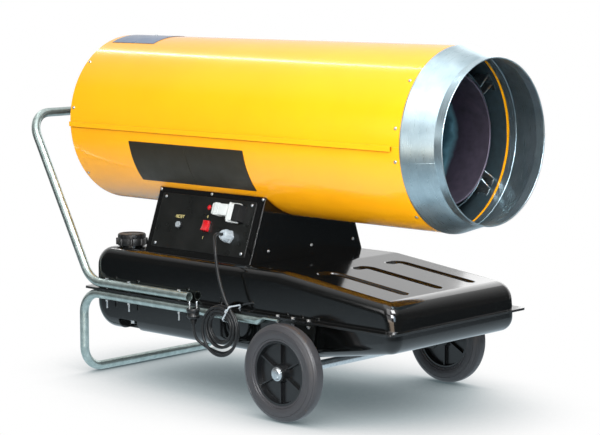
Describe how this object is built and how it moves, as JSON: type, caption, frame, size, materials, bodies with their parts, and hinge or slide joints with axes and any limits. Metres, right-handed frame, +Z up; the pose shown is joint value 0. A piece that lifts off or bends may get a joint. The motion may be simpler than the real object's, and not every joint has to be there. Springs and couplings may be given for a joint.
{
  "type": "forced air heater",
  "caption": "Wheeled forced air heater: a long round barrel with an outlet cone on a pedestal, over a flat fuel tank in a tube frame with a push handle.",
  "frame": {"origin": "on the floor, below the middle of the object", "axes": "+Z up, warm air leaves towards -Y, the control panel and the supply cord are on the -X side, +Y is the handle's end"},
  "size_m": [0.7192, 1.4771, 0.9465],
  "materials": {
    "yellow_paint": "gloss",
    "black_paint": "gloss",
    "dark_plate": "satin",
    "galvanised": "satin",
    "heat_steel": "heat tinted satin",
    "dark_liner": "matt",
    "tube_zinc": "satin",
    "zinc": "satin",
    "brass": "satin",
    "ceramic": "glazed",
    "motor_grey": "satin",
    "cast_grey": "cast",
    "black_plastic": "matt",
    "white_plastic": "satin",
    "grey_plastic": "matt",
    "red_plastic": "gloss",
    "tyre_rubber": "satin",
    "cord_rubber": "satin"
  },
  "bodies": {
    "heater": {"air_diffuser": "galvanised", "axle": "zinc", "axle_brackets": "black_paint", "blast_tube": "galvanised", "bracket_bolts": "zinc", "cable_gland": "grey_plastic", "cable_tie": "white_plastic", "casing_screws": "zinc", "chamber_brackets": "galvanised", "chamber_clips": "galvanised", "chamber_shield": "galvanised", "combustion_chamber": "heat_steel", "control_panel": "black_paint", "cord_coil": "cord_rubber", "cord_drop": "cord_rubber", "cord_tail": "cord_rubber", "drain_plug": "zinc", "fan_motor": "motor_grey", "filler_neck": "zinc", "flame_controller": "motor_grey", "frame_bolts": "zinc", "frame_nuts": "zinc", "fuel_filter": "white_plastic", "fuel_pump": "cast_grey", "handle_frame": "tube_zinc", "hub_caps": "zinc", "ignition_electrodes": "ceramic", "ignition_transformer": "motor_grey", "indicator_lamp": "red_plastic", "inlet_guard": "black_paint", "inner_liner": "dark_liner", "leg_frame": "tube_zinc", "lower_shell": "yellow_paint", "motor_bracket": "black_paint", "nozzle_holder": "brass", "nozzle_pipe": "zinc", "outlet_cone": "galvanised", "pedestal_cover": "black_paint", "pedestal_housing": "black_paint", "plug": "black_plastic", "reset_sleeve": "black_plastic", "rocker_frame": "black_plastic", "side_plates": "dark_plate", "suction_hose": "black_plastic", "tank_lower": "black_paint", "tank_upper": "black_paint", "thermostat_socket": "black_plastic", "top_plate": "dark_plate", "upper_shell": "yellow_paint"},
    "left_wheel": {"left_rim": "black_plastic", "left_tyre": "tyre_rubber"},
    "right_wheel": {"right_rim": "black_plastic", "right_tyre": "tyre_rubber"},
    "fan_rotor": {"motor_shaft": "zinc", "fan": "cast_grey", "pump_coupling": "black_plastic"},
    "rocker": {"rocker_button": "red_plastic"},
    "reset": {"reset_button": "grey_plastic"},
    "cap": {"fuel_cap": "black_plastic"},
    "link_plug": {"thermostat_plug": "white_plastic"}
  },
  "joints": [
    {"name": "left_wheel_spin", "type": "hinge", "parent": "heater", "child": "left_wheel", "pos_m": [-0.329, -0.33307, 0.125], "axis": [1, 0, 0], "continuous": true},
    {"name": "right_wheel_spin", "type": "hinge", "parent": "heater", "child": "right_wheel", "pos_m": [0.329, -0.33307, 0.125], "axis": [1, 0, 0], "continuous": true},
    {"name": "fan_spin", "type": "hinge", "parent": "heater", "child": "fan_rotor", "pos_m": [0, 0.44693, 0.708], "axis": [0, 1, 0], "continuous": true},
    {"name": "power_rocker", "type": "hinge", "parent": "heater", "child": "rocker", "pos_m": [-0.19172, 0.07513, 0.44501], "axis": [0, -1, 0], "range_deg": [0, 18]},
    {"name": "reset_press", "type": "slide", "parent": "heater", "child": "reset", "axis": [0.942, 0, -0.3356], "range_m": [0, 0.003], "stiffness_N_per_m": 300, "springref_m": -0.002},
    {"name": "cap_lift", "type": "slide", "parent": "heater", "child": "cap", "axis": [0, 0, 1], "range_m": [0, 0.105]},
    {"name": "link_pull", "type": "slide", "parent": "heater", "child": "link_plug", "axis": [0, 1, 0], "range_m": [0, 0.018]}
  ]
}
